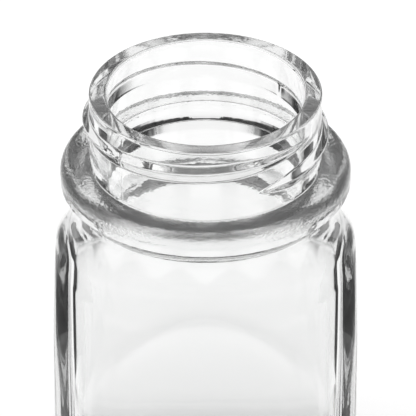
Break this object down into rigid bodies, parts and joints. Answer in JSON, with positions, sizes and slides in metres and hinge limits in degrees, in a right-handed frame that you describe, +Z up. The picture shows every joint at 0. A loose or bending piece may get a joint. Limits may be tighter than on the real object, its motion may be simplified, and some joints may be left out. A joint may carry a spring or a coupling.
{
  "type": "condiment shaker",
  "caption": "Square clear glass shaker jar with an open screw neck, and its perforated screw lid lying beside it.",
  "frame": {"origin": "centre of the jar's standing plane, on the jar's axis", "axes": "+Z up along the jar's axis to its mouth, +X towards the lid that lies beside the jar, flat jar faces square to X and Y"},
  "size_m": [0.1339, 0.058, 0.101],
  "materials": {
    "clear_glass": "clear moulded glass, polished",
    "stainless_sheet": "drawn stainless sheet, satin"
  },
  "bodies": {
    "jar": {"glass_jar": "clear_glass"},
    "lid": {"shaker_lid": "stainless_sheet"}
  },
  "joints": [
    {"name": "lid_lift", "type": "slide", "parent": "jar", "child": "lid", "axis": [0, 0, 1], "range_m": [0, 0.12]}
  ]
}
